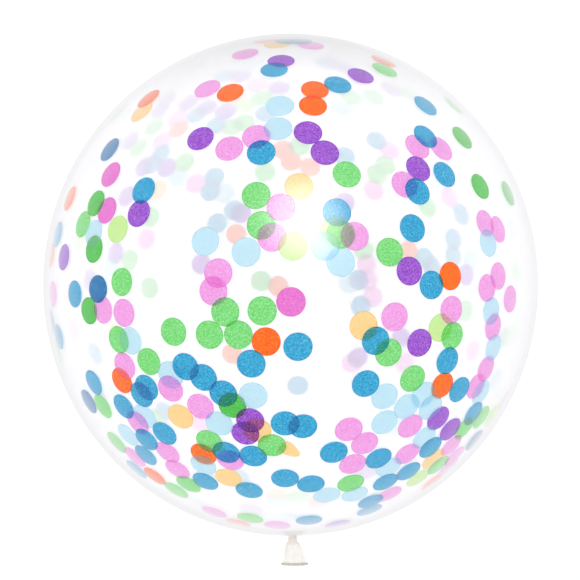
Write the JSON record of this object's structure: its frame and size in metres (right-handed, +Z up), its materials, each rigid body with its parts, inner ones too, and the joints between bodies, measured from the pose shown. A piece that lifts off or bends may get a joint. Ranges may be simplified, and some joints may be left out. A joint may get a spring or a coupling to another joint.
{
  "type": "confetti balloon",
  "caption": "Large round balloon of clear latex, tied in its own neck and lying on its side, with round pieces of coloured tissue paper sealed inside.",
  "frame": {"origin": "middle of the small flat spot on which the balloon lies", "axes": "+Y along the balloon's own axis, from the neck towards the crown; +Z up from the flat spot; +X to the side that the tail leans to"},
  "size_m": [0.9, 0.975, 0.8977],
  "materials": {
    "clear_latex": "clear, smooth and glossy, faintly milky where it is thick",
    "tissue_blue": "matt, soft tissue",
    "tissue_sky": "matt, soft tissue",
    "tissue_pink": "matt, soft tissue",
    "tissue_purple": "matt, soft tissue",
    "tissue_green": "matt, soft tissue",
    "tissue_lime": "matt, soft tissue",
    "tissue_orange": "matt, soft tissue",
    "tissue_peach": "matt, soft tissue"
  },
  "bodies": {
    "root": {"balloon": "clear_latex"}
  },
  "joints": []
}
